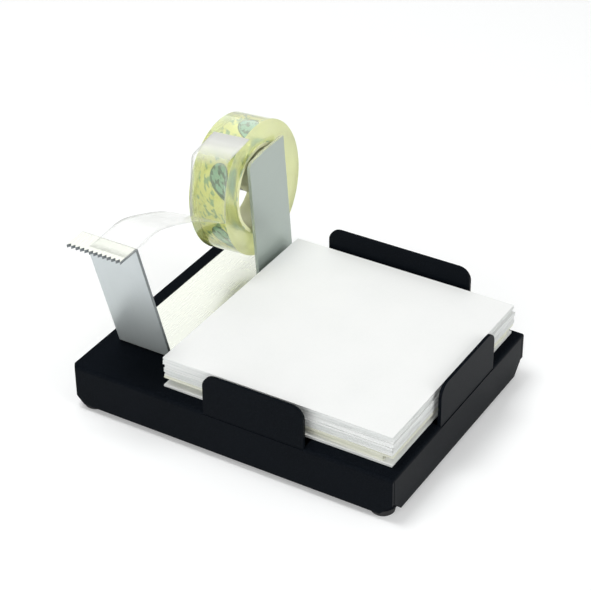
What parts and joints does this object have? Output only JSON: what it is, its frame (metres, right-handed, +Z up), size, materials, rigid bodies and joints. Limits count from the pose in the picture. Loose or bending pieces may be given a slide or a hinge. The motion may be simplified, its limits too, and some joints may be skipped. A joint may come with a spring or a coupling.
{
  "type": "desk note tray with tape dispenser",
  "caption": "Low steel desk tray that holds square note paper between lanced tabs, with a bent steel strip beside it that carries a tape roll on a peg and a serrated cutter.",
  "frame": {"origin": "on the table plane under the middle of the whole part's box", "axes": "+X to the right along the tray's long side, +Y from the cutter to the roll, +Z up"},
  "size_m": [0.1082, 0.095, 0.0684],
  "materials": {
    "tray_paint": "satin black powder coat with a fine texture",
    "stainless": "fine satin stainless sheet",
    "polished_steel": "turned and polished",
    "zinc_steel": "zinc plated",
    "foot_rubber": "matte",
    "core_plastic": "translucent moulded plastic",
    "tape": "clear film wound in many turns, pale yellow green in depth",
    "film": "one clear glossy layer",
    "white_paper": "uncoated",
    "cream_paper": "uncoated"
  },
  "bodies": {
    "tray": {"base_tray": "tray_paint", "bottom_plate": "tray_paint", "tape_bracket": "stainless", "roll_peg": "polished_steel", "tape_film": "film", "foot_front_left": "foot_rubber", "standoff_front_left": "zinc_steel", "bottom_screw_front_left": "zinc_steel", "foot_front_right": "foot_rubber", "standoff_front_right": "zinc_steel", "bottom_screw_front_right": "zinc_steel", "foot_back_left": "foot_rubber", "standoff_back_left": "zinc_steel", "bottom_screw_back_left": "zinc_steel", "foot_back_right": "foot_rubber", "standoff_back_right": "zinc_steel", "bottom_screw_back_right": "zinc_steel", "bracket_stud_front": "zinc_steel", "bracket_washer_front": "zinc_steel", "bracket_nut_front": "zinc_steel", "bracket_stud_back": "zinc_steel", "bracket_washer_back": "zinc_steel", "bracket_nut_back": "zinc_steel"},
    "roll": {"tape_core": "core_plastic", "tape_roll": "tape"},
    "paper": {"note_pad_bottom": "white_paper", "note_pad_small": "cream_paper", "note_pad_cream": "cream_paper", "note_pad_thick": "white_paper", "note_pad_thin": "white_paper", "note_pad_top": "white_paper"}
  },
  "joints": [
    {"name": "roll_spin", "type": "hinge", "parent": "tray", "child": "roll", "pos_m": [-0.03638, 0.02621, 0.04673], "axis": [-0.9976, 0, -0.0698], "continuous": true},
    {"name": "paper_lift", "type": "slide", "parent": "tray", "child": "paper", "axis": [0, 0, 1], "range_m": [0, 0.03]}
  ]
}
